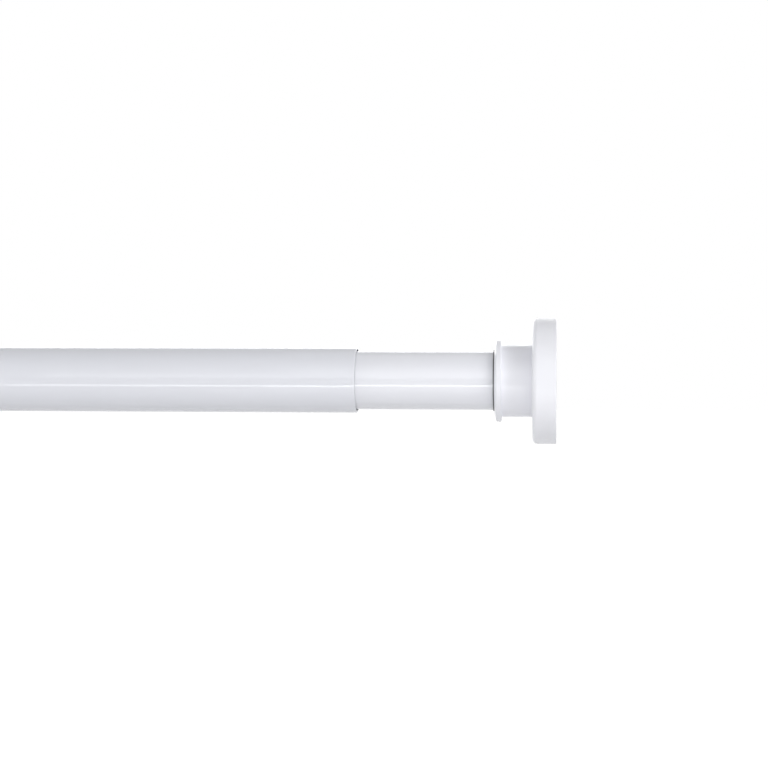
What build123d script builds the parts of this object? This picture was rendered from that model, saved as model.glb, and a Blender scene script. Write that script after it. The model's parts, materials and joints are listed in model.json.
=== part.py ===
from build123d import *
import os
from typing import NamedTuple

# Extendable shower curtain rod: an inner tube slides in an outer tube, a cam inside locks
# them with a twist, and each end sits in the socket of a two-piece wall holder.
# Millimetres. X runs along the rod, from the left wall to the right one, and Z is up.
# The origin is the middle of the left holder where it meets the wall.

# Tubes
outer_tube_diameter = 28.0
outer_tube_wall = 0.8
outer_tube_length = 710.0
inner_tube_wall = 0.8
closed_lock_gap = 7.0
tube_gap = 0.7
bare_inner_length = 58.6
tube_edge_round = 0.3

# Holder cover: a cup-shaped disc with a barrel and a lip, moulded in one
disc_diameter = 53.5
disc_depth = 10.0
disc_crown = 0.3
disc_edge_round = 2.0
disc_back_bevel = 0.5
cover_wall = 2.0
barrel_wall = 1.15
holder_depth = 26.3
lip_overhang = 2.1
lip_thickness = 2.1
lip_crown = 0.9
lip_round = 0.45
mouth_bevel = 0.3
rib_count = 6
rib_thickness = 1.4

# Wall plate: a base disc with a hollow pillar for the screw and two snap hooks
plate_thickness = 2.0
plate_edge_bevel = 0.4
pillar_diameter = 11.9
pillar_wall = 1.45
pillar_rise = 2.1
pillar_rim = 0.95
pillar_rim_bevel = 0.25
head_seat_depth = 1.4
seat_ring_rise = 0.5
seat_ring_width = 0.65
seat_ring_slope = 0.3
screw_hole_diameter = 6.4
screw_web = 2.0
web_rib_count = 4
web_rib_thickness = 1.4
web_rib_height = 3.0
hook_count = 2
hook_width = 4.3
hook_stem = 1.2
hook_barb = 1.0
hook_catch = 0.8
hook_rise = 2.3
hook_slope = 0.7
hook_notch_width = 0.4
hook_notch_depth = 0.35

# End sleeve: brings the inner tube up to the outer tube's diameter
sleeve_flange = 1.0
sleeve_grip = 1.55
sleeve_recess = 0.35
sleeve_neck_wall = 0.5
sleeve_neck_stand = 0.4
sleeve_edge_bevel = 0.2

# Mouth guide: a split liner inside the outer tube's mouth
guide_length = 18.0
guide_recess = 3.0
guide_slit = 2.5

# Twist lock: a core in the inner tube's end, and a split ring on its eccentric journal
cam_offset = 0.5
lock_ring_length = 17.6
lock_ring_thin_wall = 2.0
lock_ring_chamfer = 0.6
lock_ring_slit = 3.0
core_flange = 2.0
core_spigot_length = 24.0
core_wall = 2.0
crush_rib_count = 8
crush_rib_width = 1.0
crush_rib_height = 0.5
core_end_web = 3.0
core_web_count = 3
core_web_thickness = 1.6
screw_boss_wall = 2.0
lock_screw_diameter = 3.0
lock_screw_length = 12.0
lock_screw_head_diameter = 6.4
lock_screw_head_height = 2.2
lock_screw_head_round = 0.9
recess_width = 0.9
recess_length = 3.4
recess_depth = 1.3
lock_washer_thickness = 1.5
lock_washer_overlap = 1.2

# Clearances
socket_clearance = 0.2
end_clearance = 0.3
plate_clearance = 0.2
snap_clearance = 0.1
hook_slit = 0.55
hook_tube_clearance = 0.7
glide_clearance = 0.05
axial_play = 0.2
cam_swing_clearance = 0.28
press_clearance = 0.02
screw_clearance = 0.3

# Radii that follow
outer_tube_radius = outer_tube_diameter / 2
outer_bore_radius = outer_tube_radius - outer_tube_wall
inner_tube_radius = outer_bore_radius - tube_gap
inner_bore_radius = inner_tube_radius - inner_tube_wall
disc_radius = disc_diameter / 2
skirt_radius = disc_radius - cover_wall
socket_radius = outer_tube_radius + socket_clearance
barrel_radius = socket_radius + barrel_wall
lip_radius = barrel_radius + lip_overhang
plate_radius = skirt_radius - plate_clearance
pillar_radius = pillar_diameter / 2
pillar_hollow_radius = pillar_radius - pillar_wall
screw_hole_radius = screw_hole_diameter / 2
hook_outer_radius = outer_bore_radius - hook_tube_clearance
hook_inner_radius = hook_outer_radius - hook_stem
barb_radius = hook_inner_radius - hook_barb
window_inner_radius = barb_radius + hook_catch
lock_ring_radius = outer_bore_radius - glide_clearance
journal_bore_radius = lock_ring_radius - cam_offset - lock_ring_thin_wall
journal_radius = journal_bore_radius - glide_clearance

# Heights above the wall
floor_height = disc_depth
floor_back = floor_height - cover_wall
pillar_top = floor_height + pillar_rise
web_top = pillar_top - head_seat_depth + seat_ring_rise - seat_ring_slope
hook_top = floor_height + hook_rise
tube_end_height = floor_height + end_clearance
sleeve_seat_height = hook_top + end_clearance + sleeve_flange

# Heights above the inner tube's hidden end
ring_base = core_flange + axial_play
ring_top = ring_base + lock_ring_length
journal_top = ring_top + axial_play
screw_seat = journal_top + lock_washer_thickness
lock_top = screw_seat + lock_screw_head_height

# Places along the rod. Pushed fully together, the inner tube is bare nowhere, and the
# lock then stops short of the left holder's hooks by the closed gap.
outer_tube_start = tube_end_height
outer_tube_end = outer_tube_start + outer_tube_length
closed_inner_tube_end = outer_tube_end + holder_depth - sleeve_seat_height
closed_inner_tube_start = hook_top + closed_lock_gap + lock_top
inner_tube_length = closed_inner_tube_end - closed_inner_tube_start
inner_tube_start = closed_inner_tube_start + bare_inner_length
rod_span = outer_tube_end + bare_inner_length + holder_depth

# Each piece is drawn standing on its own plane, and the plane then lays it along the rod.
left_wall = Plane(origin=(0, 0, 0), x_dir=(0, 1, 0), z_dir=(1, 0, 0))
right_wall = Plane(origin=(rod_span, 0, 0), x_dir=(0, -1, 0), z_dir=(-1, 0, 0))
outer_tube_place = Plane(origin=(outer_tube_start, 0, 0), x_dir=(0, 1, 0), z_dir=(1, 0, 0))
inner_tube_place = Plane(origin=(inner_tube_start, 0, 0), x_dir=(0, 1, 0), z_dir=(1, 0, 0))
lock_place = Plane(origin=(inner_tube_start, 0, 0), x_dir=(0, -1, 0), z_dir=(-1, 0, 0))
cam_centre = Pos(0, -cam_offset, 0)


class Corner(NamedTuple):
    """A corner of a turned outline, sharp unless it has a round or a bevel."""

    radius: float
    height: float
    round: float = 0
    bevel: float = 0


def turned(*corners):
    """Turn an outline of corners about Z."""
    with BuildPart() as body:
        with BuildSketch(Plane.XZ) as section:
            with BuildLine():
                Polyline(*[(corner.radius, corner.height) for corner in corners], close=True)
            make_face()
            for corner in corners:
                place = (corner.radius, corner.height, 0)
                nearest = section.vertices().sort_by_distance(place)[0]
                if corner.round:
                    fillet(nearest, corner.round)
                if corner.bevel:
                    chamfer(nearest, corner.bevel)
        revolve(axis=Axis.Z)
    return body.part


def ring(inner_radius, outer_radius, base, top):
    """A plain ring about Z."""
    return turned(
        Corner(inner_radius, base),
        Corner(outer_radius, base),
        Corner(outer_radius, top),
        Corner(inner_radius, top),
    )


def wall_plate():
    """The hidden base: disc, hollow pillar with the screw's seat, ribs and two hooks."""
    seat_floor = pillar_top - head_seat_depth
    seat_ring_top = seat_floor + seat_ring_rise
    rim_inner = pillar_radius - pillar_rim
    ring_outer = screw_hole_radius + seat_ring_slope + seat_ring_width
    web_bottom = web_top - screw_web
    body = turned(
        Corner(pillar_hollow_radius, 0),
        Corner(plate_radius, 0),
        Corner(plate_radius, plate_thickness, bevel=plate_edge_bevel),
        Corner(pillar_radius, plate_thickness),
        Corner(pillar_radius, pillar_top, bevel=pillar_rim_bevel),
        Corner(rim_inner, pillar_top, bevel=pillar_rim_bevel),
        Corner(rim_inner, seat_floor),
        Corner(ring_outer, seat_floor),
        Corner(ring_outer, seat_ring_top),
        Corner(screw_hole_radius + seat_ring_slope, seat_ring_top),
        Corner(screw_hole_radius, web_top),
        Corner(screw_hole_radius, web_bottom),
        Corner(pillar_hollow_radius, web_bottom),
    )
    rib_start = (pillar_radius + pillar_hollow_radius) / 2
    rib_length = socket_radius - rib_start
    with BuildPart() as plate:
        add(body)
        with BuildSketch(Plane.XY.offset(plate_thickness)):
            with PolarLocations(rib_start + rib_length / 2, web_rib_count, start_angle=45):
                Rectangle(rib_length, web_rib_thickness)
        extrude(amount=web_rib_height)
        for turn in range(hook_count):
            add(Rot(0, 0, turn * 360 / hook_count) * snap_hook())
    return plate.part


def snap_hook():
    """One flexible hook with an inward barb, drawn in its radial plane."""
    catch_height = floor_height + snap_clearance
    notch_middle = hook_inner_radius
    outline = [
        (hook_inner_radius, plate_thickness / 2),
        (hook_outer_radius, plate_thickness / 2),
        (hook_outer_radius, hook_top),
        (notch_middle + hook_notch_width / 2, hook_top),
        (notch_middle, hook_top - hook_notch_depth),
        (notch_middle - hook_notch_width / 2, hook_top),
        (barb_radius, hook_top - hook_slope),
        (barb_radius, catch_height),
        (hook_inner_radius, catch_height),
    ]
    with BuildPart() as hook:
        with BuildSketch(Plane.XZ):
            with BuildLine():
                Polyline(*outline, close=True)
            make_face()
        extrude(amount=hook_width / 2, both=True)
    return hook.part


def holder_cover():
    """The visible moulding: rounded disc, barrel with its lip, socket floor and back ribs."""
    pillar_hole_radius = pillar_radius + plate_clearance
    lip_top = holder_depth - lip_crown
    lip_base = lip_top - lip_thickness
    body = turned(
        Corner(pillar_hole_radius, floor_back),
        Corner(skirt_radius, floor_back),
        Corner(skirt_radius, 0),
        Corner(disc_radius, 0, bevel=disc_back_bevel),
        Corner(disc_radius, disc_depth, round=disc_edge_round),
        Corner(barrel_radius, disc_depth + disc_crown),
        Corner(barrel_radius, lip_base),
        Corner(lip_radius, lip_base, round=lip_round),
        Corner(lip_radius, lip_top, round=lip_round),
        Corner(socket_radius, holder_depth, bevel=mouth_bevel),
        Corner(socket_radius, floor_height),
        Corner(pillar_hole_radius, floor_height),
    )
    rib_bottom = plate_thickness + snap_clearance
    rib_inner = socket_radius + socket_clearance
    rib_outer = skirt_radius + cover_wall / 2
    window_width = hook_width + 2 * hook_slit
    window_length = socket_radius - window_inner_radius
    with BuildPart() as cover:
        add(body)
        with BuildSketch(Plane.XY.offset(rib_bottom)):
            with PolarLocations((rib_inner + rib_outer) / 2, rib_count, start_angle=30):
                Rectangle(rib_outer - rib_inner, rib_thickness)
        extrude(amount=floor_back + cover_wall / 2 - rib_bottom)
        with BuildSketch(Plane.XY.offset(floor_back)):
            with PolarLocations(window_inner_radius + window_length / 2, hook_count):
                Rectangle(window_length, window_width)
            Circle(socket_radius, mode=Mode.INTERSECT)
        extrude(amount=cover_wall, mode=Mode.SUBTRACT)
    return cover.part


def tube(radius, wall, length):
    """A drawn tube with its outer edges broken at both ends."""
    return turned(
        Corner(radius - wall, 0),
        Corner(radius, 0, round=tube_edge_round),
        Corner(radius, length, round=tube_edge_round),
        Corner(radius - wall, length),
    )


def end_sleeve():
    """A sleeve on the inner tube's end, stepped over the hooks, with a neck past the lip."""
    flange_bottom = sleeve_seat_height - sleeve_flange
    shoulder = holder_depth - sleeve_recess
    neck_top = holder_depth + sleeve_neck_stand
    tube_seat_radius = inner_tube_radius + press_clearance
    neck_radius = tube_seat_radius + sleeve_neck_wall
    skirt_inner_radius = hook_outer_radius + plate_clearance
    return turned(
        Corner(skirt_inner_radius, tube_end_height),
        Corner(outer_tube_radius, tube_end_height, bevel=sleeve_edge_bevel),
        Corner(outer_tube_radius, shoulder, bevel=sleeve_edge_bevel),
        Corner(neck_radius, shoulder),
        Corner(neck_radius, neck_top),
        Corner(tube_seat_radius, neck_top),
        Corner(tube_seat_radius, sleeve_seat_height),
        Corner(inner_tube_radius - sleeve_grip, sleeve_seat_height),
        Corner(inner_tube_radius - sleeve_grip, flange_bottom),
        Corner(skirt_inner_radius, flange_bottom),
    )


def mouth_guide():
    """A thin liner, slit along its length, that keeps the inner tube central."""
    outer_radius = outer_bore_radius - press_clearance
    inner_radius = inner_tube_radius + cam_swing_clearance
    base = outer_tube_length - guide_recess - guide_length
    top = base + guide_length
    with BuildPart() as guide:
        add(ring(inner_radius, outer_radius, base, top))
        with BuildSketch(Plane.XY.offset(base)):
            with Locations((0, outer_radius)):
                Rectangle(guide_slit, outer_radius)
        extrude(amount=guide_length, mode=Mode.SUBTRACT)
    return guide.part


def lock_core():
    """Spigot with crush ribs, flange on the tube's end, and the eccentric journal."""
    rib_tip = inner_bore_radius - press_clearance
    spigot_radius = rib_tip - crush_rib_height
    spigot_bore = spigot_radius - core_wall
    cavity_top = journal_top - core_end_web
    cavity_radius = journal_radius - core_wall
    boss_radius = lock_screw_diameter / 2 + screw_boss_wall
    with BuildPart() as core:
        with BuildSketch(Plane.XY.offset(-core_spigot_length)):
            Circle(spigot_radius)
            with PolarLocations(spigot_radius, crush_rib_count):
                Rectangle(2 * crush_rib_height, crush_rib_width)
        extrude(amount=core_spigot_length)
        with BuildSketch(Plane.XY):
            Circle(inner_tube_radius)
        extrude(amount=core_flange)
        with BuildSketch(Plane.XY.offset(core_flange)):
            with Locations(cam_centre):
                Circle(journal_radius)
        extrude(amount=journal_top - core_flange)
        with BuildSketch(Plane.XY.offset(-core_spigot_length)):
            Circle(spigot_bore)
        extrude(amount=core_spigot_length - core_wall, mode=Mode.SUBTRACT)
        with BuildSketch(Plane.XY.offset(-core_wall)):
            with Locations(cam_centre):
                Circle(cavity_radius)
                Circle(boss_radius, mode=Mode.SUBTRACT)
                with PolarLocations(cavity_radius / 2, core_web_count, start_angle=90):
                    Rectangle(cavity_radius, core_web_thickness, mode=Mode.SUBTRACT)
        extrude(amount=cavity_top + core_wall, mode=Mode.SUBTRACT)
        with BuildSketch(Plane.XY.offset(journal_top)):
            with Locations(cam_centre):
                Circle(lock_screw_diameter / 2 + press_clearance)
        extrude(amount=-lock_screw_length, mode=Mode.SUBTRACT)
    return core.part


def lock_ring():
    """A split ring, round outside with its bore off centre, that wedges in the outer tube."""
    with BuildPart() as wedge:
        with BuildSketch(Plane.XY.offset(ring_base)):
            Circle(lock_ring_radius)
        extrude(amount=lock_ring_length)
        rims = wedge.edges().filter_by(GeomType.CIRCLE)
        chamfer(rims, lock_ring_chamfer)
        with BuildSketch(Plane.XY.offset(ring_base)):
            with Locations(cam_centre):
                Circle(journal_bore_radius)
            with Locations((0, lock_ring_radius)):
                Rectangle(lock_ring_slit, lock_ring_radius)
        extrude(amount=lock_ring_length, mode=Mode.SUBTRACT)
    return wedge.part


def lock_washer():
    """The disc that keeps the ring on the journal."""
    hole_radius = lock_screw_diameter / 2 + screw_clearance
    rim_radius = journal_bore_radius + lock_washer_overlap
    return cam_centre * ring(hole_radius, rim_radius, journal_top, screw_seat)


def lock_screw():
    """A pan-head screw with a cross recess, along the journal's axis."""
    tip = screw_seat - lock_screw_length
    head_radius = lock_screw_head_diameter / 2
    shank_radius = lock_screw_diameter / 2
    body = turned(
        Corner(0, tip),
        Corner(shank_radius, tip),
        Corner(shank_radius, screw_seat),
        Corner(head_radius, screw_seat),
        Corner(head_radius, lock_top, round=lock_screw_head_round),
        Corner(0, lock_top),
    )
    with BuildPart() as screw:
        add(body)
        with BuildSketch(Plane.XY.offset(lock_top)):
            Rectangle(recess_length, recess_width)
            Rectangle(recess_width, recess_length)
        extrude(amount=-recess_depth, mode=Mode.SUBTRACT)
    return cam_centre * screw.part


pieces = {
    "left_wall_plate": left_wall.location * wall_plate(),
    "left_cover": left_wall.location * holder_cover(),
    "outer_tube": outer_tube_place.location * tube(outer_tube_radius, outer_tube_wall, outer_tube_length),
    "mouth_guide": outer_tube_place.location * mouth_guide(),
    "lock_ring": lock_place.location * lock_ring(),
    "lock_core": lock_place.location * lock_core(),
    "lock_washer": lock_place.location * lock_washer(),
    "lock_screw": lock_place.location * lock_screw(),
    "inner_tube": inner_tube_place.location * tube(inner_tube_radius, inner_tube_wall, inner_tube_length),
    "end_sleeve": right_wall.location * end_sleeve(),
    "right_cover": right_wall.location * holder_cover(),
    "right_wall_plate": right_wall.location * wall_plate(),
}

os.makedirs("parts", exist_ok=True)
for name, solid in pieces.items():
    export_step(solid, f"parts/{name}.step")
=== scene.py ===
"""Extendable shower curtain rod: coated tubes, moulded wall holders and the twist lock."""

import json
import logging
import math
from dataclasses import dataclass, field
from enum import Enum
from typing import Any

import bmesh
import bpy
from mathutils import Matrix, Vector

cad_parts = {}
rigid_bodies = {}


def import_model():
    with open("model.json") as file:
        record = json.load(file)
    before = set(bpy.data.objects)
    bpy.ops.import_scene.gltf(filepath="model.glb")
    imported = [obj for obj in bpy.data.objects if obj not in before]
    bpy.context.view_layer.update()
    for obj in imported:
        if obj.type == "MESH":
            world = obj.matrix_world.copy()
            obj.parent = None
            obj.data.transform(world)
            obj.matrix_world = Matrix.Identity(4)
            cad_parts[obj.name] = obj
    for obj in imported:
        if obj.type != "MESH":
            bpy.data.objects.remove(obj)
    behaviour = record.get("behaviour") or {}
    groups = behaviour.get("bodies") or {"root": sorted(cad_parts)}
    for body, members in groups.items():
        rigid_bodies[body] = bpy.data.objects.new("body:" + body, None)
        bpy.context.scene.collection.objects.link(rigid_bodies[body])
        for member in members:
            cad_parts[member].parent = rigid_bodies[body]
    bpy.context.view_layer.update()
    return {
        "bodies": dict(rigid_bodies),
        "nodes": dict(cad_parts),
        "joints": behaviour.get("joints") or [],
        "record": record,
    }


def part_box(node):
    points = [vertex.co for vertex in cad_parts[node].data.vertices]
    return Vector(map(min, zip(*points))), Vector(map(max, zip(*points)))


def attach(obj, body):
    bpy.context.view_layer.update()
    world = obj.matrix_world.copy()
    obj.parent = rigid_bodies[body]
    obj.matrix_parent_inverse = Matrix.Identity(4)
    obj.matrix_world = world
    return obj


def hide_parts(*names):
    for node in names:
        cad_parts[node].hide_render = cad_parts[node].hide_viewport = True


LOG = logging.getLogger("curtain_rod")
MM = 0.001
CREASE_ANGLE = math.radians(35)
FLAT_FACE_WEIGHT = 100
ON_AXIS = 1e-9
LAMP_WATTS_A_SQUARE_METRE = 4.0
WHITE = (1.0, 1.0, 1.0, 1.0)
Colour = tuple[float, float, float]
Spans = tuple[tuple[float, float, float], ...]


class Side(Enum):
    """The wall that a holder is fixed to."""

    LEFT = "left"
    RIGHT = "right"


@dataclass(frozen=True)
class Corner:
    """A corner of a turned outline, sharp where its round is nothing."""

    radius: float
    height: float
    round: float = 0.0


class Recipe:
    """Writes nodes and their links into one node tree."""

    def __init__(self, tree: bpy.types.NodeTree) -> None:
        """Keep the tree.

        Args:
            tree: The node tree to write into.
        """
        self.tree = tree

    def add(self, kind: str, inputs: dict[Any, Any] | None = None, **settings: Any) -> bpy.types.Node:
        """Add one node.

        Args:
            kind: Blender's name for the node.
            inputs: What each input holds or is linked to, by name or index.
            **settings: Properties of the node itself.

        Returns:
            The new node.
        """
        node = self.tree.nodes.new(kind)
        for name, value in settings.items():
            setattr(node, name, value)
        for key, value in (inputs or {}).items():
            for source in value if isinstance(value, list) else [value]:
                self.feed(node.inputs[key], source)
        return node

    def feed(self, socket: bpy.types.NodeSocket, source: Any) -> None:
        """Link an output to an input, or set the input's value.

        Args:
            socket: The input.
            source: An output, or a plain value.
        """
        if isinstance(source, bpy.types.NodeSocket):
            self.tree.links.new(source, socket)
        else:
            socket.default_value = source

    def math(self, operation: str, *values: Any) -> bpy.types.NodeSocket:
        """Add a math node.

        Args:
            operation: The sum to do, in Blender's words.
            *values: Its numbers or outputs, in order.

        Returns:
            The result.
        """
        return self.add("ShaderNodeMath", dict(enumerate(values)), operation=operation).outputs[0]

    def vector_math(self, operation: str, *values: Any) -> bpy.types.Node:
        """Add a vector math node.

        Args:
            operation: The sum to do, in Blender's words.
            *values: Its vectors or outputs, in order.

        Returns:
            The node.
        """
        return self.add("ShaderNodeVectorMath", dict(enumerate(values)), operation=operation)


def new_tree(
    name: str, kind: str, inputs: dict[str, str], outputs: dict[str, str],
) -> tuple[Recipe, Any, Any]:
    """Make a node group with named inputs and outputs.

    Args:
        name: The group's name.
        kind: Blender's name for the kind of tree.
        inputs: For each input, its socket kind.
        outputs: For each output, its socket kind.

    Returns:
        The recipe, the group's input sockets and its output sockets.
    """
    tree = bpy.data.node_groups.new(name, kind)
    for way, sockets in (("INPUT", inputs), ("OUTPUT", outputs)):
        for label, socket_kind in sockets.items():
            tree.interface.new_socket(label, in_out=way, socket_type=socket_kind)
    recipe = Recipe(tree)
    return recipe, recipe.add("NodeGroupInput").outputs, recipe.add("NodeGroupOutput").inputs


def plain_mesh(source: bpy.types.Object) -> bpy.types.Mesh:
    """Evaluate an object and take the result as a plain mesh.

    Args:
        source: The object with its modifiers.

    Returns:
        The mesh with every modifier worked in.
    """
    graph = bpy.context.evaluated_depsgraph_get()
    return bpy.data.meshes.new_from_object(source.evaluated_get(graph), depsgraph=graph)


def grow(
    tree: bpy.types.NodeTree, inputs: dict[str, Any], base: bpy.types.Mesh | None = None,
) -> bpy.types.Mesh:
    """Run a geometry tree and keep its result as a plain mesh.

    Args:
        tree: The geometry tree.
        inputs: The value of each named input.
        base: The mesh that the tree starts from, if it needs one.

    Returns:
        The grown mesh.
    """
    carrier = bpy.data.objects.new("carrier", base or bpy.data.meshes.new("empty"))
    bpy.context.scene.collection.objects.link(carrier)
    modifier = carrier.modifiers.new(tree.name, "NODES")
    modifier.node_group = tree
    for name, value in inputs.items():
        modifier[tree.interface.items_tree[name].identifier] = value
    mesh = plain_mesh(carrier)
    carrier.modifiers.remove(modifier)
    bpy.data.objects.remove(carrier)
    return mesh


def new_piece(name: str, mesh: bpy.types.Mesh) -> bpy.types.Object:
    """Shade a mesh smooth between its creases and make it an object.

    Args:
        name: The piece's name.
        mesh: Its mesh, already in place.

    Returns:
        The piece, with its flat faces kept flat beside small rounds.
    """
    mesh.shade_smooth()
    mesh.set_sharp_from_angle(angle=CREASE_ANGLE)
    piece = bpy.data.objects.new(name, mesh)
    bpy.context.scene.collection.objects.link(piece)
    weighting = piece.modifiers.new("flat_faces_first", "WEIGHTED_NORMAL")
    weighting.keep_sharp = True
    weighting.weight = FLAT_FACE_WEIGHT
    piece.data = plain_mesh(piece)
    piece.modifiers.clear()
    piece.data.name = name
    return piece


def rounded(corners: list[Corner], arc_steps: int) -> list[Vector]:
    """Work out the points of a closed outline, with its rounds as arcs.

    Args:
        corners: The outline's corners, in order.
        arc_steps: The steps of each arc.

    Returns:
        Points as distance from the axis and height.
    """
    points = []
    for index, corner in enumerate(corners):
        here = Vector((corner.radius, corner.height))
        if not corner.round:
            points.append(here)
            continue
        before, after = corners[index - 1], corners[(index + 1) % len(corners)]
        back = (Vector((before.radius, before.height)) - here).normalized()
        ahead = (Vector((after.radius, after.height)) - here).normalized()
        half = back.angle(ahead) / 2
        reach = corner.round / math.tan(half)
        centre = here + (back + ahead).normalized() * (corner.round / math.sin(half))
        first = here + back * reach - centre
        swing = first.angle_signed(here + ahead * reach - centre)
        for step in range(arc_steps + 1):
            points.append(centre + Matrix.Rotation(-swing * step / arc_steps, 2) @ first)
    return points


def turned(outline: list[Vector], segments: int) -> bpy.types.Mesh:
    """Turn a closed outline about the rod's axis.

    Args:
        outline: Points as distance from the axis and height along it.
        segments: How many steps go round.

    Returns:
        A closed mesh, its heights along X.
    """
    shape = bmesh.new()
    rings = []
    for radius, height in outline:
        if radius < ON_AXIS:
            rings.append([shape.verts.new((height, 0, 0))] * segments)
            continue
        turns = [2 * math.pi * step / segments for step in range(segments)]
        rings.append([
            shape.verts.new((height, radius * math.cos(turn), radius * math.sin(turn))) for turn in turns])
    for ring, following in zip(rings, rings[1:] + rings[:1]):
        for step in range(segments):
            beside = (step + 1) % segments
            loop = dict.fromkeys((ring[step], ring[beside], following[beside], following[step]))
            if len(loop) > 2:
                shape.faces.new(loop)
    bmesh.ops.recalc_face_normals(shape, faces=shape.faces)
    mesh = bpy.data.meshes.new("turned")
    shape.to_mesh(mesh)
    shape.free()
    return mesh


def tube_tree() -> bpy.types.NodeTree:
    """Make the tree of a drawn tube with rounded edges.

    Returns:
        A tree that sweeps the wall's section round the rod's axis.
    """
    number, whole, material = "NodeSocketFloat", "NodeSocketInt", "NodeSocketMaterial"
    recipe, given, result = new_tree(
        "drawn_tube", "GeometryNodeTree",
        {
            "Outer Radius": number, "Wall": number, "Start": number, "Length": number,
            "Edge Round": number, "Round Steps": whole, "Segments": whole,
            "Coating": material, "Bore Metal And Painted Shade": material,
        },
        {"Geometry": "NodeSocketGeometry"},
    )
    middle = recipe.math("SUBTRACT", given["Outer Radius"], recipe.math("MULTIPLY", given["Wall"], 0.5))
    path = recipe.add("GeometryNodeCurvePrimitiveCircle", {"Resolution": given["Segments"], "Radius": middle})
    section = recipe.add(
        "GeometryNodeCurvePrimitiveQuadrilateral", {"Width": given["Wall"], "Height": given["Length"]})
    softened = recipe.add(
        "GeometryNodeFilletCurve",
        {"Curve": section.outputs[0], "Count": given["Round Steps"], "Radius": given["Edge Round"]},
        mode="POLY")
    swept = recipe.add(
        "GeometryNodeCurveToMesh", {"Curve": path.outputs[0], "Profile Curve": softened.outputs[0]})
    centre = recipe.math("ADD", given["Start"], recipe.math("MULTIPLY", given["Length"], 0.5))
    laid = recipe.add(
        "GeometryNodeTransform",
        {
            "Geometry": swept.outputs[0],
            "Rotation": (0.0, math.pi / 2, 0.0),
            "Translation": recipe.add("ShaderNodeCombineXYZ", {"X": centre}).outputs[0],
        })
    flat = (0.0, 1.0, 1.0)
    place = recipe.vector_math("MULTIPLY", recipe.add("GeometryNodeInputPosition").outputs[0], flat)
    normal = recipe.add("GeometryNodeInputNormal").outputs[0]
    facing = recipe.vector_math("DOT_PRODUCT", place.outputs[0], normal)
    inward = recipe.math("LESS_THAN", facing.outputs["Value"], 0.0)
    whole_tube = recipe.add("GeometryNodeRealizeInstances", {"Geometry": laid.outputs[0]})
    coated = recipe.add(
        "GeometryNodeSetMaterial", {"Geometry": whole_tube.outputs[0], "Material": given["Coating"]})
    # the inside faces get the bore material, darkened metal that paints the shade inside the tube
    lined = recipe.add(
        "GeometryNodeSetMaterial",
        {"Geometry": coated.outputs[0], "Selection": inward, "Material": given["Bore Metal And Painted Shade"]})
    recipe.feed(result["Geometry"], lined.outputs[0])
    return recipe.tree


def ring_of_blocks_tree() -> bpy.types.NodeTree:
    """Make the tree of a ring of equal blocks about the rod's axis.

    Returns:
        A tree whose blocks each run out from the axis.
    """
    number, whole = "NodeSocketFloat", "NodeSocketInt"
    recipe, given, result = new_tree(
        "ring_of_blocks", "GeometryNodeTree",
        {
            "Count": whole, "First Turn": number, "Inner Radius": number, "Outer Radius": number,
            "Width": number, "Bottom": number, "Top": number,
        },
        {"Geometry": "NodeSocketGeometry"},
    )
    tall = recipe.math("SUBTRACT", given["Top"], given["Bottom"])
    deep = recipe.math("SUBTRACT", given["Outer Radius"], given["Inner Radius"])
    size = recipe.add("ShaderNodeCombineXYZ", {"X": tall, "Y": deep, "Z": given["Width"]})
    block = recipe.add("GeometryNodeMeshCube", {"Size": size.outputs[0]})
    middle_height = recipe.math("MULTIPLY", recipe.math("ADD", given["Top"], given["Bottom"]), 0.5)
    both_radii = recipe.math("ADD", given["Outer Radius"], given["Inner Radius"])
    middle_radius = recipe.math("MULTIPLY", both_radii, 0.5)
    seat = recipe.add("ShaderNodeCombineXYZ", {"X": middle_height, "Y": middle_radius})
    seated = recipe.add(
        "GeometryNodeTransform", {"Geometry": block.outputs["Mesh"], "Translation": seat.outputs[0]})
    share = recipe.math("DIVIDE", 2 * math.pi, given["Count"])
    index = recipe.add("GeometryNodeInputIndex").outputs[0]
    turn = recipe.math("MULTIPLY_ADD", index, share, given["First Turn"])
    points = recipe.add("GeometryNodePoints", {"Count": given["Count"]})
    copies = recipe.add(
        "GeometryNodeInstanceOnPoints",
        {
            "Points": points.outputs[0],
            "Instance": seated.outputs[0],
            "Rotation": recipe.add("ShaderNodeCombineXYZ", {"X": turn}).outputs[0],
        })
    joined = recipe.add("GeometryNodeRealizeInstances", {"Geometry": copies.outputs[0]})
    recipe.feed(result["Geometry"], joined.outputs[0])
    return recipe.tree


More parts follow.
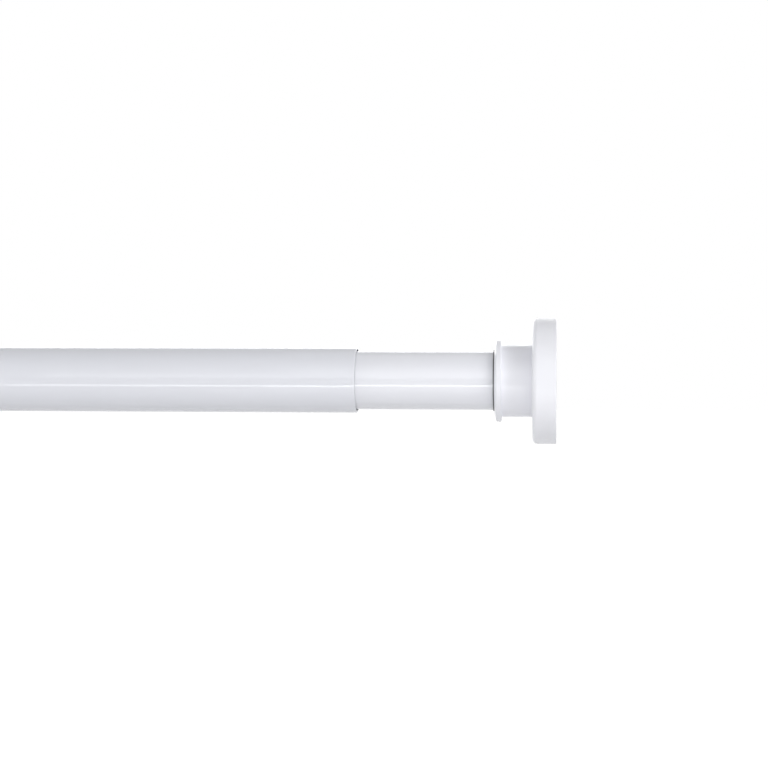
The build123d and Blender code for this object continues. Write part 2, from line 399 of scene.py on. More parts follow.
def cover_tree(ring_of_blocks: bpy.types.NodeTree) -> bpy.types.NodeTree:
    """Make the tree that gives a turned cover its back ribs and its hook windows.

    Args:
        ring_of_blocks: The tree of a ring of blocks.

    Returns:
        A tree that joins the ribs to the cover and cuts the windows.
    """
    number, whole, geometry = "NodeSocketFloat", "NodeSocketInt", "NodeSocketGeometry"
    sizes = ("Count", "First Turn", "Inner Radius", "Outer Radius", "Width", "Bottom", "Top")
    kinds = {size: whole if size == "Count" else number for size in sizes}
    recipe, given, result = new_tree(
        "holder_cover", "GeometryNodeTree",
        {
            "Geometry": geometry,
            **{f"Rib {size}": kind for size, kind in kinds.items()},
            **{f"Window {size}": kind for size, kind in kinds.items()},
            "Plastic": "NodeSocketMaterial",
        },
        {"Geometry": geometry},
    )
    rings = {}
    for part in ("Rib", "Window"):
        rings[part] = recipe.add("GeometryNodeGroup", node_tree=ring_of_blocks)
        for size in sizes:
            recipe.feed(rings[part].inputs[size], given[f"{part} {size}"])
    ribbed = recipe.add(
        "GeometryNodeMeshBoolean", {"Mesh 2": [given["Geometry"], rings["Rib"].outputs[0]]},
        operation="UNION", solver="EXACT")
    cut = recipe.add(
        "GeometryNodeMeshBoolean", {"Mesh 1": ribbed.outputs["Mesh"], "Mesh 2": rings["Window"].outputs[0]},
        operation="DIFFERENCE", solver="EXACT")
    whole_cover = recipe.add("GeometryNodeRealizeInstances", {"Geometry": cut.outputs["Mesh"]})
    dressed = recipe.add(
        "GeometryNodeSetMaterial", {"Geometry": whole_cover.outputs[0], "Material": given["Plastic"]})
    recipe.feed(result["Geometry"], dressed.outputs[0])
    return recipe.tree


def screw_tree(ring_of_blocks: bpy.types.NodeTree) -> bpy.types.NodeTree:
    """Make the tree that gives a turned screw its thread and its cross recess.

    Args:
        ring_of_blocks: The tree of a ring of blocks.

    Returns:
        A tree that cuts the recess and sweeps a pointed ridge along a spiral.
    """
    number, whole, geometry = "NodeSocketFloat", "NodeSocketInt", "NodeSocketGeometry"
    recipe, given, result = new_tree(
        "cross_recess_screw", "GeometryNodeTree",
        {
            "Geometry": geometry, "Arms": whole, "Arm Length": number, "Arm Width": number,
            "Recess Bottom": number, "Recess Top": number, "Thread Radius": number, "Ridge": number,
            "Pitch": number, "Thread Start": number, "Thread Length": number,
            "Steps a Turn": whole, "Ridge Sides": whole, "Metal": "NodeSocketMaterial",
        },
        {"Geometry": geometry},
    )
    cross = recipe.add(
        "GeometryNodeGroup",
        {
            "Count": given["Arms"], "Outer Radius": given["Arm Length"], "Width": given["Arm Width"],
            "Bottom": given["Recess Bottom"], "Top": given["Recess Top"],
        },
        node_tree=ring_of_blocks)
    cut = recipe.add(
        "GeometryNodeMeshBoolean",
        {"Mesh 1": given["Geometry"], "Mesh 2": cross.outputs[0], "Self Intersection": True},
        operation="DIFFERENCE", solver="EXACT")
    spiral = recipe.add(
        "GeometryNodeCurveSpiral",
        {
            "Resolution": given["Steps a Turn"],
            "Rotations": recipe.math("DIVIDE", given["Thread Length"], given["Pitch"]),
            "Start Radius": given["Thread Radius"], "End Radius": given["Thread Radius"],
            "Height": given["Thread Length"],
        })
    ridge = recipe.add(
        "GeometryNodeCurvePrimitiveCircle", {"Resolution": given["Ridge Sides"], "Radius": given["Ridge"]})
    swept = recipe.add(
        "GeometryNodeCurveToMesh",
        {"Curve": spiral.outputs[0], "Profile Curve": ridge.outputs[0], "Fill Caps": True})
    laid = recipe.add(
        "GeometryNodeTransform",
        {
            "Geometry": swept.outputs[0],
            "Rotation": (0.0, math.pi / 2, 0.0),
            "Translation": recipe.add("ShaderNodeCombineXYZ", {"X": given["Thread Start"]}).outputs[0],
        })
    joined = recipe.add("GeometryNodeJoinGeometry", {"Geometry": [cut.outputs["Mesh"], laid.outputs[0]]})
    whole_screw = recipe.add("GeometryNodeRealizeInstances", {"Geometry": joined.outputs[0]})
    plated = recipe.add(
        "GeometryNodeSetMaterial", {"Geometry": whole_screw.outputs[0], "Material": given["Metal"]})
    recipe.feed(result["Geometry"], plated.outputs[0])
    return recipe.tree


class Effects:
    """The surface effects that several finishes share, each a node group made once."""

    grain_detail: float = 2.0
    cloud_size: float = 20.0
    cloud_detail: float = 3.0
    patch_detail: float = 4.0
    patch_bend: float = 0.6
    line_detail: float = 3.0
    line_from: float = 0.35
    line_to: float = 0.65

    def __init__(self) -> None:
        """Make the groups."""
        self.grain = self.make_grain()
        self.drift = self.make_drift()
        self.drawn = self.make_drawn()

    def make_grain(self) -> bpy.types.NodeTree:
        """Make a fine even grain.

        Returns:
            A group that gives a height and a roughness.
        """
        number = "NodeSocketFloat"
        recipe, given, result = new_tree(
            "fine_grain", "ShaderNodeTree",
            {"Grains a Metre": number, "Roughness": number, "Roughness Spread": number},
            {"Height": number, "Roughness": number},
        )
        place = recipe.add("ShaderNodeTexCoord").outputs["Object"]
        grain = recipe.add(
            "ShaderNodeTexNoise",
            {"Vector": place, "Scale": given["Grains a Metre"], "Detail": self.grain_detail})
        clouds_a_metre = recipe.math("DIVIDE", given["Grains a Metre"], self.cloud_size)
        clouds = recipe.add(
            "ShaderNodeTexNoise", {"Vector": place, "Scale": clouds_a_metre, "Detail": self.cloud_detail})
        centred = recipe.math("SUBTRACT", clouds.outputs[0], 0.5)
        rough = recipe.math("MULTIPLY_ADD", centred, given["Roughness Spread"], given["Roughness"])
        recipe.feed(result["Height"], grain.outputs[0])
        recipe.feed(result["Roughness"], rough)
        return recipe.tree

    def make_drift(self) -> bpy.types.NodeTree:
        """Make a slow drift of tone.

        Returns:
            A group that gives a colour.
        """
        number, colour = "NodeSocketFloat", "NodeSocketColor"
        recipe, given, result = new_tree(
            "tone_drift", "ShaderNodeTree",
            {"Colour": colour, "Deeper Colour": colour, "Patches a Metre": number},
            {"Colour": colour},
        )
        place = recipe.add("ShaderNodeTexCoord").outputs["Object"]
        patches = recipe.add(
            "ShaderNodeTexNoise",
            {
                "Vector": place, "Scale": given["Patches a Metre"],
                "Detail": self.patch_detail, "Distortion": self.patch_bend,
            })
        mixed = recipe.add(
            "ShaderNodeMix", {0: patches.outputs[0], 6: given["Colour"], 7: given["Deeper Colour"]},
            data_type="RGBA")
        recipe.feed(result["Colour"], mixed.outputs[2])
        return recipe.tree

    def make_drawn(self) -> bpy.types.NodeTree:
        """Make the fine lines that drawing leaves along a tube.

        Returns:
            A group that gives a height and a mask.
        """
        number = "NodeSocketFloat"
        recipe, given, result = new_tree(
            "drawn_lines", "ShaderNodeTree",
            {"Lines a Metre": number, "Stretch": number},
            {"Height": number, "Mask": number},
        )
        place = recipe.add("ShaderNodeTexCoord").outputs["Object"]
        slow = recipe.math("DIVIDE", 1.0, given["Stretch"])
        squeeze = recipe.add("ShaderNodeCombineXYZ", {"X": slow, "Y": 1.0, "Z": 1.0})
        stretched = recipe.vector_math("MULTIPLY", place, squeeze.outputs[0])
        lines = recipe.add(
            "ShaderNodeTexNoise",
            {"Vector": stretched.outputs[0], "Scale": given["Lines a Metre"], "Detail": self.line_detail})
        mask = recipe.add(
            "ShaderNodeMapRange",
            {"Value": lines.outputs[0], "From Min": self.line_from, "From Max": self.line_to})
        recipe.feed(result["Height"], lines.outputs[0])
        recipe.feed(result["Mask"], mask.outputs[0])
        return recipe.tree


def new_material(name: str) -> tuple[bpy.types.Material, Recipe, bpy.types.Node]:
    """Make a material that holds one Principled shader.

    Args:
        name: The material's name.

    Returns:
        The material, its recipe and its shader.
    """
    material = bpy.data.materials.new(name)
    material.use_nodes = True
    recipe = Recipe(material.node_tree)
    return material, recipe, material.node_tree.nodes["Principled BSDF"]


@dataclass(frozen=True)
class CoatedMetal:
    """Glossy white lacquer on a metal tube."""

    name: str
    colour: Colour
    deeper_colour: Colour
    roughness: float = 0.06
    roughness_spread: float = 0.03
    patches_a_metre: float = 14.0
    waves_a_metre: float = 420.0
    wave_height: float = 0.0022 * MM

    def make(self, effects: Effects) -> bpy.types.Material:
        """Make the material.

        Args:
            effects: The shared effects.

        Returns:
            The lacquer with its slight waviness.
        """
        material, recipe, shader = new_material(self.name)
        drift = recipe.add("ShaderNodeGroup", node_tree=effects.drift)
        recipe.feed(drift.inputs["Colour"], (*self.colour, 1.0))
        recipe.feed(drift.inputs["Deeper Colour"], (*self.deeper_colour, 1.0))
        recipe.feed(drift.inputs["Patches a Metre"], self.patches_a_metre)
        grain = recipe.add("ShaderNodeGroup", node_tree=effects.grain)
        recipe.feed(grain.inputs["Grains a Metre"], self.waves_a_metre)
        recipe.feed(grain.inputs["Roughness"], self.roughness)
        recipe.feed(grain.inputs["Roughness Spread"], self.roughness_spread)
        bump = recipe.add(
            "ShaderNodeBump", {"Height": grain.outputs["Height"], "Distance": self.wave_height})
        recipe.feed(shader.inputs["Base Color"], drift.outputs["Colour"])
        recipe.feed(shader.inputs["Roughness"], grain.outputs["Roughness"])
        recipe.feed(shader.inputs["Normal"], bump.outputs[0])
        return material


@dataclass(frozen=True)
class BareMetal:
    """Metal with no coating, with the fine lines of its making."""

    name: str
    colour: Colour
    deeper_colour: Colour
    roughness: float
    roughness_spread: float
    lines_a_metre: float
    stretch: float
    line_height: float

    def make(self, effects: Effects) -> bpy.types.Material:
        """Make the material.

        Args:
            effects: The shared effects.

        Returns:
            The metal.
        """
        material, recipe, shader = new_material(self.name)
        drawn = recipe.add("ShaderNodeGroup", node_tree=effects.drawn)
        recipe.feed(drawn.inputs["Lines a Metre"], self.lines_a_metre)
        recipe.feed(drawn.inputs["Stretch"], self.stretch)
        tone = recipe.add(
            "ShaderNodeMix",
            {0: drawn.outputs["Mask"], 6: (*self.colour, 1.0), 7: (*self.deeper_colour, 1.0)},
            data_type="RGBA")
        rough = recipe.math("MULTIPLY_ADD", drawn.outputs["Mask"], self.roughness_spread, self.roughness)
        bump = recipe.add(
            "ShaderNodeBump", {"Height": drawn.outputs["Height"], "Distance": self.line_height})
        recipe.feed(shader.inputs["Metallic"], 1.0)
        recipe.feed(shader.inputs["Base Color"], tone.outputs[2])
        recipe.feed(shader.inputs["Roughness"], rough)
        recipe.feed(shader.inputs["Normal"], bump.outputs[0])
        return material


@dataclass(frozen=True)
class MouldedPlastic:
    """Injection-moulded plastic, which may be polished near the axis and satin further out."""

    name: str
    colour: Colour
    deeper_colour: Colour
    roughness: float = 0.36
    roughness_spread: float = 0.08
    polished_roughness: float = 0.28
    polished_radius: float = 0.0
    polish_fade: float = 1.0 * MM
    patches_a_metre: float = 30.0
    grains_a_metre: float = 2600.0
    grain_height: float = 0.0025 * MM

    def make(self, effects: Effects) -> bpy.types.Material:
        """Make the material.

        Args:
            effects: The shared effects.

        Returns:
            The plastic.
        """
        material, recipe, shader = new_material(self.name)
        drift = recipe.add("ShaderNodeGroup", node_tree=effects.drift)
        recipe.feed(drift.inputs["Colour"], (*self.colour, 1.0))
        recipe.feed(drift.inputs["Deeper Colour"], (*self.deeper_colour, 1.0))
        recipe.feed(drift.inputs["Patches a Metre"], self.patches_a_metre)
        grain = recipe.add("ShaderNodeGroup", node_tree=effects.grain)
        recipe.feed(grain.inputs["Grains a Metre"], self.grains_a_metre)
        recipe.feed(grain.inputs["Roughness"], self.roughness)
        recipe.feed(grain.inputs["Roughness Spread"], self.roughness_spread)
        rough = grain.outputs["Roughness"]
        if self.polished_radius:
            place = recipe.add("ShaderNodeTexCoord").outputs["Object"]
            across = recipe.vector_math("MULTIPLY", place, (0.0, 1.0, 1.0))
            reach = recipe.vector_math("LENGTH", across.outputs[0]).outputs["Value"]
            satin = recipe.add(
                "ShaderNodeMapRange",
                {
                    "Value": reach, "From Min": self.polished_radius,
                    "From Max": self.polished_radius + self.polish_fade,
                    "To Min": self.polished_roughness, "To Max": rough,
                })
            rough = satin.outputs[0]
        bump = recipe.add(
            "ShaderNodeBump", {"Height": grain.outputs["Height"], "Distance": self.grain_height})
        recipe.feed(shader.inputs["Base Color"], drift.outputs["Colour"])
        recipe.feed(shader.inputs["Roughness"], rough)
        recipe.feed(shader.inputs["Normal"], bump.outputs[0])
        return material


class Palette:
    """Every finish of the rod, made once."""

    def __init__(self, effects: Effects) -> None:
        """Make the materials.

        Args:
            effects: The shared effects.
        """
        self.outer_coat = CoatedMetal(
            "outer_lacquer", (0.823, 0.836, 0.893), (0.81, 0.824, 0.883)).make(effects)
        self.inner_coat = CoatedMetal(
            "inner_lacquer", (0.888, 0.898, 0.953), (0.878, 0.888, 0.943)).make(effects)
        # The bore's grey is darker than bare aluminium: partly the real drawn metal, partly painted shade for
        # the dark gaps inside the tubes' mouths.
        self.bore = BareMetal(
            "drawn_aluminium_painted_shade", (0.5, 0.505, 0.52), (0.38, 0.385, 0.4), roughness=0.42,
            roughness_spread=0.15, lines_a_metre=2400.0, stretch=60.0, line_height=0.004 * MM).make(effects)
        self.zinc = BareMetal(
            "zinc_plating", (0.72, 0.73, 0.74), (0.6, 0.61, 0.63), roughness=0.24,
            roughness_spread=0.12, lines_a_metre=3000.0, stretch=1.0, line_height=0.003 * MM).make(effects)
        self.holder_plastic = MouldedPlastic(
            "holder_plastic", (0.922, 0.927, 0.975), (0.912, 0.918, 0.968),
            polished_radius=20.0 * MM).make(effects)
        self.plate_plastic = MouldedPlastic(
            "plate_plastic", (0.82, 0.825, 0.845), (0.8, 0.805, 0.83)).make(effects)
        # The sleeve's dark grey is painted shade: a dark ring at the lip stands in for the shadow line where
        # the inner tube enters the holder.
        self.sleeve_plastic = MouldedPlastic(
            "sleeve_plastic", (0.13, 0.13, 0.14), (0.11, 0.11, 0.12)).make(effects)
        self.guide_plastic = MouldedPlastic(
            "guide_plastic", (0.13, 0.13, 0.14), (0.11, 0.11, 0.12)).make(effects)
        self.ring_plastic = MouldedPlastic(
            "ring_plastic", (0.75, 0.73, 0.66), (0.71, 0.69, 0.62)).make(effects)
        self.core_plastic = MouldedPlastic(
            "core_plastic", (0.22, 0.23, 0.25), (0.2, 0.21, 0.23)).make(effects)


def dress(frame: dict[str, Any], node: str, material: bpy.types.Material) -> bpy.types.Object:
    """Give a node that keeps its own shape its finish.

    Args:
        frame: The loaded frame.
        node: The node's name.
        material: Its finish.

    Returns:
        The node.
    """
    dressed = frame["nodes"][node]
    for part_slot in dressed.material_slots:
        part_slot.material = material
    return dressed


@dataclass
class Tube:
    """One of the two drawn tubes."""

    node: str
    body: str
    slot: str
    wall: float = 0.8 * MM
    edge_round: float = 0.18 * MM
    round_steps: int = 4
    segments: int = 192

    def build(self, tree: bpy.types.NodeTree, coating: Any, bore: Any) -> bpy.types.Object:
        """Sweep the tube in the place that its node holds.

        Args:
            tree: The tube tree.
            coating: The material outside and on the cut ends.
            bore: The material inside, bare metal darkened as painted shade.

        Returns:
            The tube.
        """
        low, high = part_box(self.node)
        mesh = grow(tree, {
            "Outer Radius": (high.z - low.z) / 2, "Wall": self.wall, "Start": low.x,
            "Length": high.x - low.x, "Edge Round": self.edge_round, "Round Steps": self.round_steps,
            "Segments": self.segments, "Coating": coating, "Bore Metal And Painted Shade": bore,
        })
        tube = new_piece(f"{self.node}_drawn", mesh)
        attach(tube, self.body)
        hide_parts(self.node)
        return tube


@dataclass
class Telescope:
    """The two tubes, with the guide in the mouth of one and the sleeve on the end of the other."""

    outer: Tube = field(default_factory=lambda: Tube("outer_tube", "outer_rod", "outer_tube_white"))
    inner: Tube = field(default_factory=lambda: Tube("inner_tube", "inner_rod", "inner_tube_white"))
    guide: str = "mouth_guide"
    sleeve: str = "end_sleeve"

    def build(self, frame: dict[str, Any], tree: bpy.types.NodeTree, palette: Palette) -> list[Any]:
        """Sweep the tubes and dress the guide and the sleeve.

        Args:
            frame: The loaded frame.
            tree: The tube tree.
            palette: The rod's finishes.

        Returns:
            The tubes, the guide and the sleeve.
        """
        return [
            self.outer.build(tree, palette.outer_coat, palette.bore),
            self.inner.build(tree, palette.inner_coat, palette.bore),
            dress(frame, self.guide, palette.guide_plastic),
            # the sleeve's dark colour paints the shadow line at the holder's lip
            dress(frame, self.sleeve, palette.sleeve_plastic),
        ]


@dataclass
class WallHolder:
    """A wall holder: the visible cover and the plate that it clips on."""

    side: Side
    disc_depth: float = 10.0 * MM
    disc_crown: float = 0.3 * MM
    disc_edge_round: float = 2.0 * MM
    disc_back_round: float = 0.5 * MM
    cover_wall: float = 2.0 * MM
    barrel_wall: float = 1.15 * MM
    barrel_root_round: float = 0.35 * MM
    lip_overhang: float = 2.1 * MM
    lip_thickness: float = 2.1 * MM
    lip_crown: float = 0.9 * MM
    lip_round: float = 0.45 * MM
    lip_root_round: float = 0.2 * MM
    mouth_round: float = 0.3 * MM
    socket_radius: float = 14.2 * MM
    pillar_hole_radius: float = 6.15 * MM
    rib_count: int = 6
    first_rib_turn: float = math.radians(30)
    rib_thickness: float = 1.4 * MM
    rib_bottom: float = 2.1 * MM
    rib_stand_off: float = 0.2 * MM
    window_count: int = 2
    window_inner_radius: float = 11.1 * MM
    window_width: float = 5.4 * MM
    segments: int = 240
    arc_steps: int = 8

    def outline(self) -> list[Corner]:
        """Give the cover's turned section.

        Returns:
            Its corners, from the back of the socket floor outwards.
        """
        low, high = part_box(f"{self.side.value}_cover")
        disc_radius, depth = (high.z - low.z) / 2, high.x - low.x
        skirt_radius = disc_radius - self.cover_wall
        floor_back = self.disc_depth - self.cover_wall
        barrel_radius = self.socket_radius + self.barrel_wall
        lip_radius = barrel_radius + self.lip_overhang
        lip_top = depth - self.lip_crown
        lip_base = lip_top - self.lip_thickness
        return [
            Corner(self.pillar_hole_radius, floor_back),
            Corner(skirt_radius, floor_back, self.barrel_root_round),
            Corner(skirt_radius, 0),
            Corner(disc_radius, 0, self.disc_back_round),
            Corner(disc_radius, self.disc_depth, self.disc_edge_round),
            Corner(barrel_radius, self.disc_depth + self.disc_crown, self.barrel_root_round),
            Corner(barrel_radius, lip_base, self.lip_root_round),
            Corner(lip_radius, lip_base, self.lip_round),
            Corner(lip_radius, lip_top, self.lip_round),
            Corner(self.socket_radius, depth, self.mouth_round),
            Corner(self.socket_radius, self.disc_depth),
            Corner(self.pillar_hole_radius, self.disc_depth),
        ]

    def build_cover(self, tree: bpy.types.NodeTree, plastic: Any) -> bpy.types.Object:
        """Turn the cover, join its ribs and cut its windows.

        Args:
            tree: The cover tree.
            plastic: The cover's material.

        Returns:
            The cover.
        """
        node = f"{self.side.value}_cover"
        low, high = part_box(node)
        skirt_radius = (high.z - low.z) / 2 - self.cover_wall
        floor_back = self.disc_depth - self.cover_wall
        half_wall = self.cover_wall / 2
        mesh = grow(tree, {
            "Rib Count": self.rib_count, "Rib First Turn": self.first_rib_turn,
            "Rib Inner Radius": self.socket_radius + self.rib_stand_off,
            "Rib Outer Radius": skirt_radius + half_wall, "Rib Width": self.rib_thickness,
            "Rib Bottom": self.rib_bottom, "Rib Top": floor_back + half_wall,
            "Window Count": self.window_count, "Window First Turn": 0.0,
            "Window Inner Radius": self.window_inner_radius, "Window Outer Radius": self.socket_radius,
            "Window Width": self.window_width, "Window Bottom": floor_back - half_wall,
            "Window Top": self.disc_depth + half_wall, "Plastic": plastic,
        }, turned(rounded(self.outline(), self.arc_steps), self.segments))
        if self.side is Side.RIGHT:
            mesh.transform(Matrix.Translation((high.x, 0, 0)) @ Matrix.Rotation(math.pi, 4, "Z"))
        cover = new_piece(f"{node}_moulding", mesh)
        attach(cover, f"{self.side.value}_holder")
        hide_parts(node)
        return cover

    def dress_plate(self, frame: dict[str, Any], plastic: Any) -> bpy.types.Object:
        """Give the wall plate its finish.

        Args:
            frame: The loaded frame.
            plastic: The plate's material.

        Returns:
            The wall plate.
        """
        return dress(frame, f"{self.side.value}_wall_plate", plastic)


@dataclass
class LockScrew:
    """The pan-head screw that keeps the ring and washer on the lock's journal."""

    node: str = "lock_screw"
    core_radius: float = 1.15 * MM
    point_radius: float = 0.5 * MM
    point_length: float = 1.0 * MM
    head_height: float = 2.2 * MM
    head_round: float = 0.9 * MM
    ridge: float = 0.33 * MM
    ridge_sides: int = 3
    pitch: float = 1.1 * MM
    steps_a_turn: int = 32
    thread_start: float = 0.9 * MM
    plain_shank: float = 1.2 * MM
    recess_width: float = 0.9 * MM
    recess_reach: float = 1.7 * MM
    recess_depth: float = 1.3 * MM
    recess_arms: int = 4
    segments: int = 64
    arc_steps: int = 6

    def build(self, tree: bpy.types.NodeTree, metal: Any) -> bpy.types.Object:
        """Turn the screw, cut its recess and give it its thread.

        Args:
            tree: The screw tree.
            metal: The screw's material.

        Returns:
            The screw.
        """
        low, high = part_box(self.node)
        head_radius, length = (high.z - low.z) / 2, high.x - low.x
        seat = length - self.head_height
        outline = rounded([
            Corner(0, 0),
            Corner(self.point_radius, 0),
            Corner(self.core_radius, self.point_length),
            Corner(self.core_radius, seat),
            Corner(head_radius, seat),
            Corner(head_radius, length, self.head_round),
            Corner(0, length),
        ], self.arc_steps)
        mesh = grow(tree, {
            "Arms": self.recess_arms, "Arm Length": self.recess_reach, "Arm Width": self.recess_width,
            "Recess Bottom": length - self.recess_depth, "Recess Top": length + self.recess_width,
            "Thread Radius": self.core_radius, "Ridge": self.ridge, "Ridge Sides": self.ridge_sides,
            "Pitch": self.pitch, "Thread Start": self.thread_start,
            "Thread Length": seat - self.plain_shank - self.thread_start,
            "Steps a Turn": self.steps_a_turn, "Metal": metal,
        }, turned(outline, self.segments))
        middle = (low + high) / 2
        place = Matrix.Translation((high.x, middle.y, middle.z))
        mesh.transform(place @ Matrix.Rotation(math.pi, 4, "Z"))
        screw = new_piece(f"{self.node}_threaded", mesh)
        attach(screw, "inner_rod")
        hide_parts(self.node)
        return screw


@dataclass
class TwistLock:
    """The lock in the inner tube's hidden end: split ring, core, washer and screw."""

    ring: str = "lock_ring"
    core: str = "lock_core"
    washer: str = "lock_washer"

    def build(self, frame: dict[str, Any], tree: bpy.types.NodeTree, palette: Palette) -> list[Any]:
        """Dress the mouldings and the washer, and build the screw.

        Args:
            frame: The loaded frame.
            tree: The screw tree.
            palette: The rod's finishes.

        Returns:
            The lock's pieces.
        """
        return [
            dress(frame, self.ring, palette.ring_plastic),
            dress(frame, self.core, palette.core_plastic),
            dress(frame, self.washer, palette.zinc),
            LockScrew().build(tree, palette.zinc),
        ]


@dataclass(frozen=True)
class Strip:
    """A long soft strip of light beside the rod, placed by its direction from the rod."""

    name: str
    elevation: float
    spread: float
    brightness: float
    distance: float = 1.1
    spans: Spans = ()

    def build(self, spans: Spans) -> None:
        """Hang the strip's lamps, which face the rod and don't show themselves.

        Args:
            spans: For each lamp, where it starts and ends along the rod and its share of the brightness,
                for a strip that has no spans of its own.
        """
        tilt = math.radians(self.elevation)
        towards = Vector((0, -math.cos(tilt), math.sin(tilt)))
        for index, (start, end, share) in enumerate(self.spans or spans):
            data = bpy.data.lights.new(f"{self.name}_{index + 1}", "AREA")
            data.shape = "RECTANGLE"
            data.size = end - start
            data.size_y = 2 * self.distance * math.tan(math.radians(self.spread) / 2)
            area = data.size * data.size_y
            data.energy = LAMP_WATTS_A_SQUARE_METRE * area * self.brightness * share
            lamp = bpy.data.objects.new(data.name, data)
            bpy.context.scene.collection.objects.link(lamp)
            lamp.location = Vector(((start + end) / 2, 0, 0)) + towards * self.distance
            lamp.rotation_euler = (math.pi / 2 - tilt, 0, 0)
            lamp.visible_camera = False


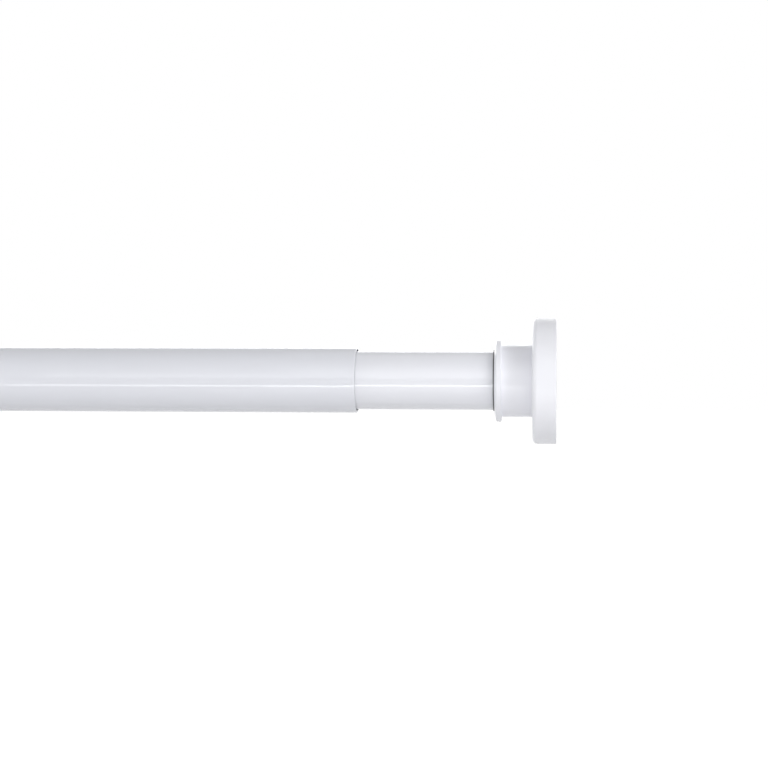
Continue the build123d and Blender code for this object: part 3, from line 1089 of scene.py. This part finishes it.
@dataclass(frozen=True)
class Studio:
    """The pale floor, the white surroundings and the soft light.

    The lamps hang in strips along the rod, each split into spans: where a span starts and ends along
    X, and its share of the strip's brightness.
    """

    floor_drop: float = 0.45
    floor_size: float = 60.0
    floor_colour: float = 0.6
    shown_floor_colour: float = 0.3
    near_reach: float = 0.9
    far_reach: float = 1.5
    near_glow: float = 0.74
    far_glow: float = 1.0
    ambient: float = 0.2
    spans: Spans = ((-1.2, 0.3, 0.12), (0.3, 0.55, 0.2), (0.55, 1.7, 1.0))
    strips: tuple[Strip, ...] = (
        Strip("bank_edge", 14.0, 12.0, 1.1, spans=((-1.2, 0.3, 0.25), (0.3, 1.7, 1.0))),
        Strip("bank_low", 26.0, 12.0, 1.0),
        Strip("bank_middle", 38.0, 12.0, 0.66),
        Strip("bank_high", 50.0, 12.0, 0.32),
        Strip("above", 104.0, 24.0, 0.34),
        Strip("far_right", 40.0, 30.0, 4.0, distance=1.9, spans=((2.0, 4.6, 1.0),)),
        Strip("back", 162.0, 32.0, 1.2, spans=((-1.2, 1.9, 1.0),)),
        Strip(
            "low_strip", -21.0, 5.0, 5.0, distance=0.95,
            spans=((-1.2, 0.3, 0.3), (0.3, 0.55, 0.72), (0.55, 1.7, 1.0))),
        Strip("low_fill", -28.5, 8.0, 0.5, distance=0.88),
        Strip("low_front", -40.0, 16.0, 0.4, distance=0.62),
    )
    panel_place: tuple[float, float, float] = (-0.9, -0.3, 0.1)
    panel_size: float = 0.9
    panel_brightness: float = 2.5

    @staticmethod
    def showing(recipe: Recipe) -> bpy.types.NodeSocket:
        """Tell the rays that show the surroundings from those that carry their light.

        Args:
            recipe: The recipe of the material or world.

        Returns:
            1 for camera, glossy and transmission rays, and 0 for the others.
        """
        seen = recipe.add("ShaderNodeLightPath").outputs
        direct = recipe.math("MAXIMUM", seen["Is Camera Ray"], seen["Is Glossy Ray"])
        return recipe.math("MAXIMUM", direct, seen["Is Transmission Ray"])

    def build_world(self) -> None:
        """Make a world that is white to look at and gives a moderate light."""
        world = bpy.data.worlds.new("studio")
        bpy.context.scene.world = world
        world.use_nodes = True
        recipe = Recipe(world.node_tree)
        strength = recipe.add(
            "ShaderNodeMapRange", {"Value": self.showing(recipe), "To Min": self.ambient, "To Max": 1.0})
        background = world.node_tree.nodes["Background"]
        recipe.feed(background.inputs["Color"], WHITE)
        recipe.feed(background.inputs["Strength"], strength.outputs[0])

    def build_panel(self) -> None:
        """Hang a lamp off the rod's left end, which lights the faces that look that way."""
        data = bpy.data.lights.new("left_panel", "AREA")
        data.shape = "SQUARE"
        data.size = self.panel_size
        data.energy = LAMP_WATTS_A_SQUARE_METRE * self.panel_size ** 2 * self.panel_brightness
        lamp = bpy.data.objects.new(data.name, data)
        bpy.context.scene.collection.objects.link(lamp)
        lamp.location = self.panel_place
        lamp.rotation_euler = (0, -math.pi / 2, 0)
        lamp.visible_camera = False

    def build_floor(self) -> None:
        """Lay a plain pale floor that keeps the rod's shadow."""
        mesh = bpy.data.meshes.new("floor")
        half = self.floor_size / 2
        turns = ((-half, -half), (half, -half), (half, half), (-half, half))
        mesh.from_pydata([(x, y, -self.floor_drop) for x, y in turns], [], [(0, 1, 2, 3)])
        floor = bpy.data.objects.new("floor", mesh)
        bpy.context.scene.collection.objects.link(floor)
        material = bpy.data.materials.new("pale_floor")
        material.use_nodes = True
        nodes = material.node_tree.nodes
        nodes.remove(nodes["Principled BSDF"])
        recipe = Recipe(material.node_tree)
        lit = recipe.add("ShaderNodeBsdfDiffuse", {"Color": (*[self.floor_colour] * 3, 1.0)})
        pale = recipe.add("ShaderNodeBsdfDiffuse", {"Color": (*[self.shown_floor_colour] * 3, 1.0)})
        place = recipe.add("ShaderNodeTexCoord").outputs["Object"]
        away = recipe.vector_math("LENGTH", place).outputs["Value"]
        strength = recipe.add(
            "ShaderNodeMapRange",
            {
                "Value": away, "From Min": self.near_reach, "From Max": self.far_reach,
                "To Min": self.near_glow, "To Max": self.far_glow,
            })
        lift = recipe.add("ShaderNodeEmission", {"Color": WHITE, "Strength": strength.outputs[0]})
        shown = recipe.add("ShaderNodeAddShader", {0: pale.outputs[0], 1: lift.outputs[0]})
        mixed = recipe.add(
            "ShaderNodeMixShader", {0: self.showing(recipe), 1: lit.outputs[0], 2: shown.outputs[0]})
        recipe.feed(nodes["Material Output"].inputs["Surface"], mixed.outputs[0])
        mesh.materials.append(material)

    def build(self) -> None:
        """Set up the world, the floor and the lamps."""
        self.build_world()
        self.build_floor()
        self.build_panel()
        for strip in self.strips:
            strip.build(self.spans)


@dataclass(frozen=True)
class Viewpoint:
    """Where the photograph was taken from."""

    frame_pixels: float = 768.0
    focal_pixels: float = 1972.0
    sensor_width: float = 36.0
    distance: float = 0.84
    foot: float = 0.804
    aim: float = 0.7317
    axis_above_middle_pixels: float = 3.7
    roll: float = 0.2

    def build(self) -> None:
        """Place the scene's camera."""
        data = bpy.data.cameras.new("camera")
        data.sensor_width = self.sensor_width
        data.lens = self.focal_pixels / self.frame_pixels * self.sensor_width
        camera = bpy.data.objects.new("camera", data)
        bpy.context.scene.collection.objects.link(camera)
        drop = self.distance * self.axis_above_middle_pixels / self.focal_pixels
        towards = Vector((self.aim - self.foot, self.distance, -drop))
        camera.rotation_mode = "QUATERNION"
        rolled = Matrix.Rotation(math.radians(self.roll), 3, "Z").to_quaternion()
        camera.rotation_quaternion = towards.to_track_quat("-Z", "Y") @ rolled
        camera.location = (self.foot, -self.distance, 0)
        bpy.context.scene.camera = camera


def main() -> None:
    """Build the rod's pieces, the studio and the camera."""
    logging.basicConfig(level=logging.INFO, format="%(name)s: %(message)s")
    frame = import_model()
    bpy.context.scene.view_settings.view_transform = "Standard"
    palette = Palette(Effects())
    blocks = ring_of_blocks_tree()
    cover = cover_tree(blocks)
    pieces = Telescope().build(frame, tube_tree(), palette)
    for side in Side:
        holder = WallHolder(side)
        pieces.append(holder.build_cover(cover, palette.holder_plastic))
        pieces.append(holder.dress_plate(frame, palette.plate_plastic))
    pieces += TwistLock().build(frame, screw_tree(blocks), palette)
    for piece in pieces:
        LOG.info("%s: %d faces", piece.name, len(piece.data.polygons))
    Studio().build()
    Viewpoint().build()


if __name__ == "__main__":
    main()
